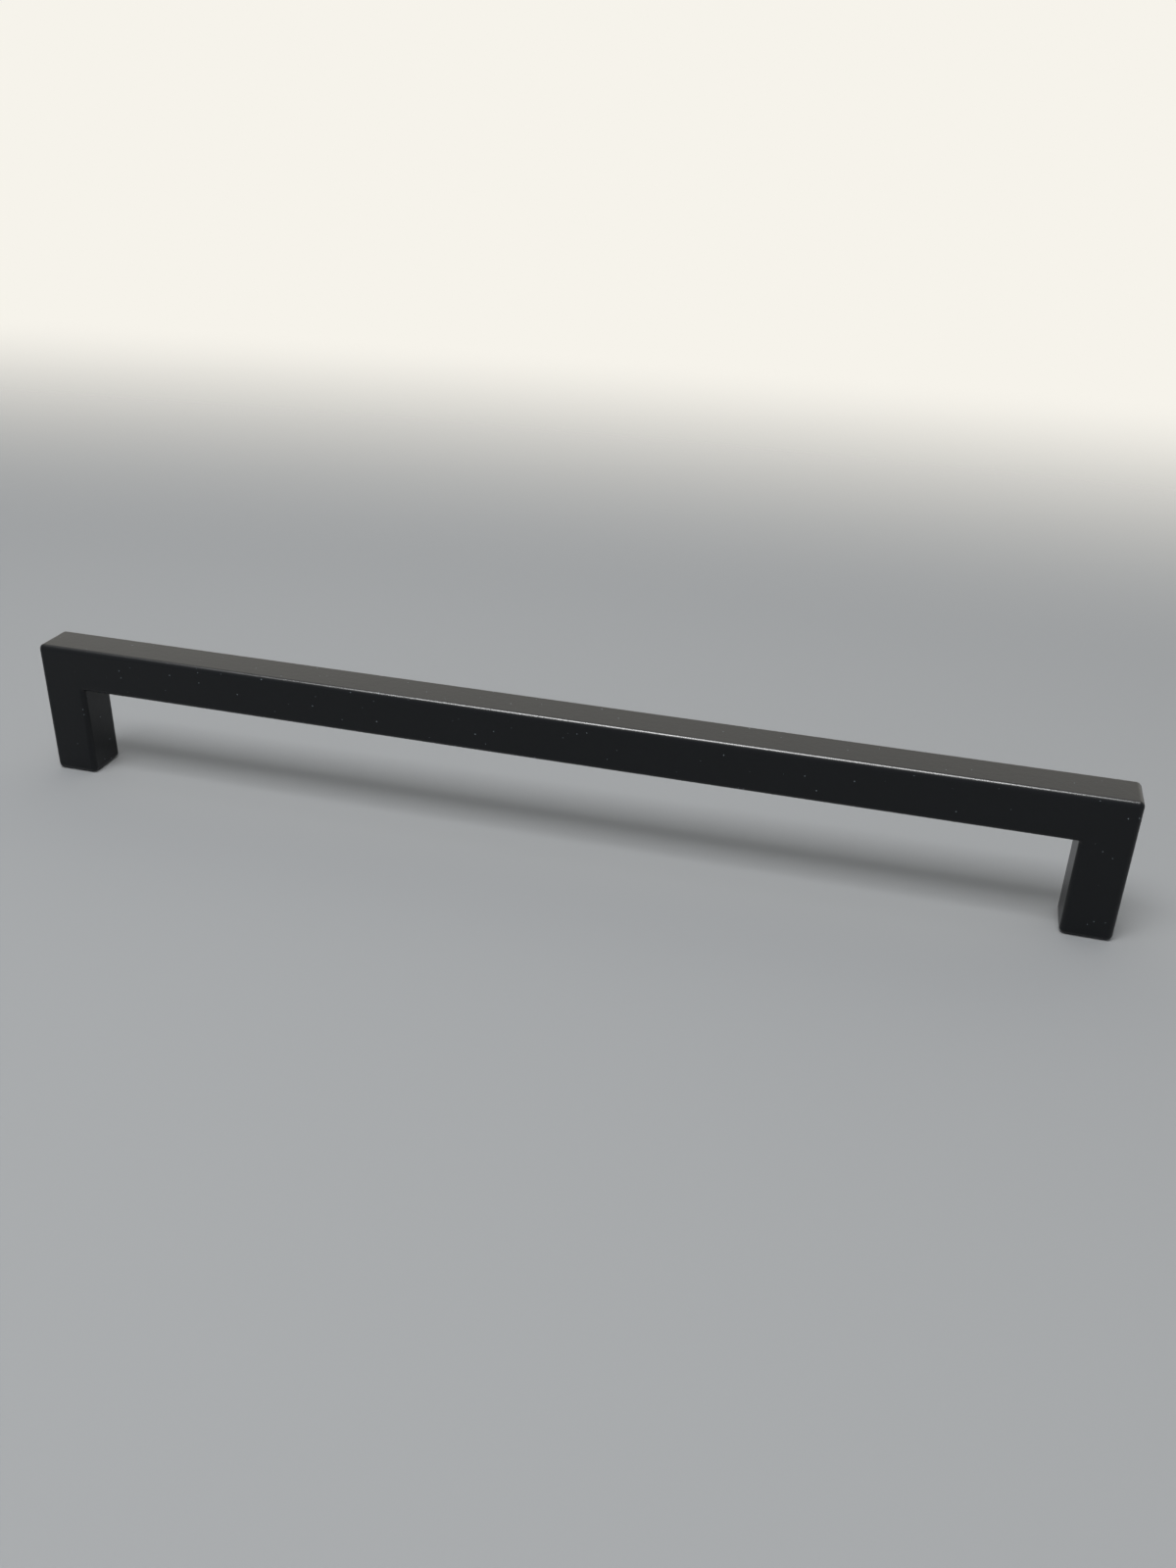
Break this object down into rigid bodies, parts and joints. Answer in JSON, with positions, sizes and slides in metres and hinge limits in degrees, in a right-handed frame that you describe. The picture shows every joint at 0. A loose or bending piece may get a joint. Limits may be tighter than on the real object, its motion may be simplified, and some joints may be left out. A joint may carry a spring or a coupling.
{
  "type": "cabinet pull",
  "caption": "Square bar cabinet pull in matt black: a straight square bar on square end legs with softly rounded edges, and a tapped screw hole in each foot.",
  "frame": {"origin": "midway between the two screw holes, on the plane of the feet, where the door's face lies", "axes": "+X along the bar, +Y across it, +Z from the feet to the top of the bar, away from the door"},
  "size_m": [0.234, 0.01, 0.0307],
  "materials": {
    "black_coating": "matt black coating, very fine even texture"
  },
  "bodies": {
    "root": {"bar_pull": "black_coating"}
  },
  "joints": []
}
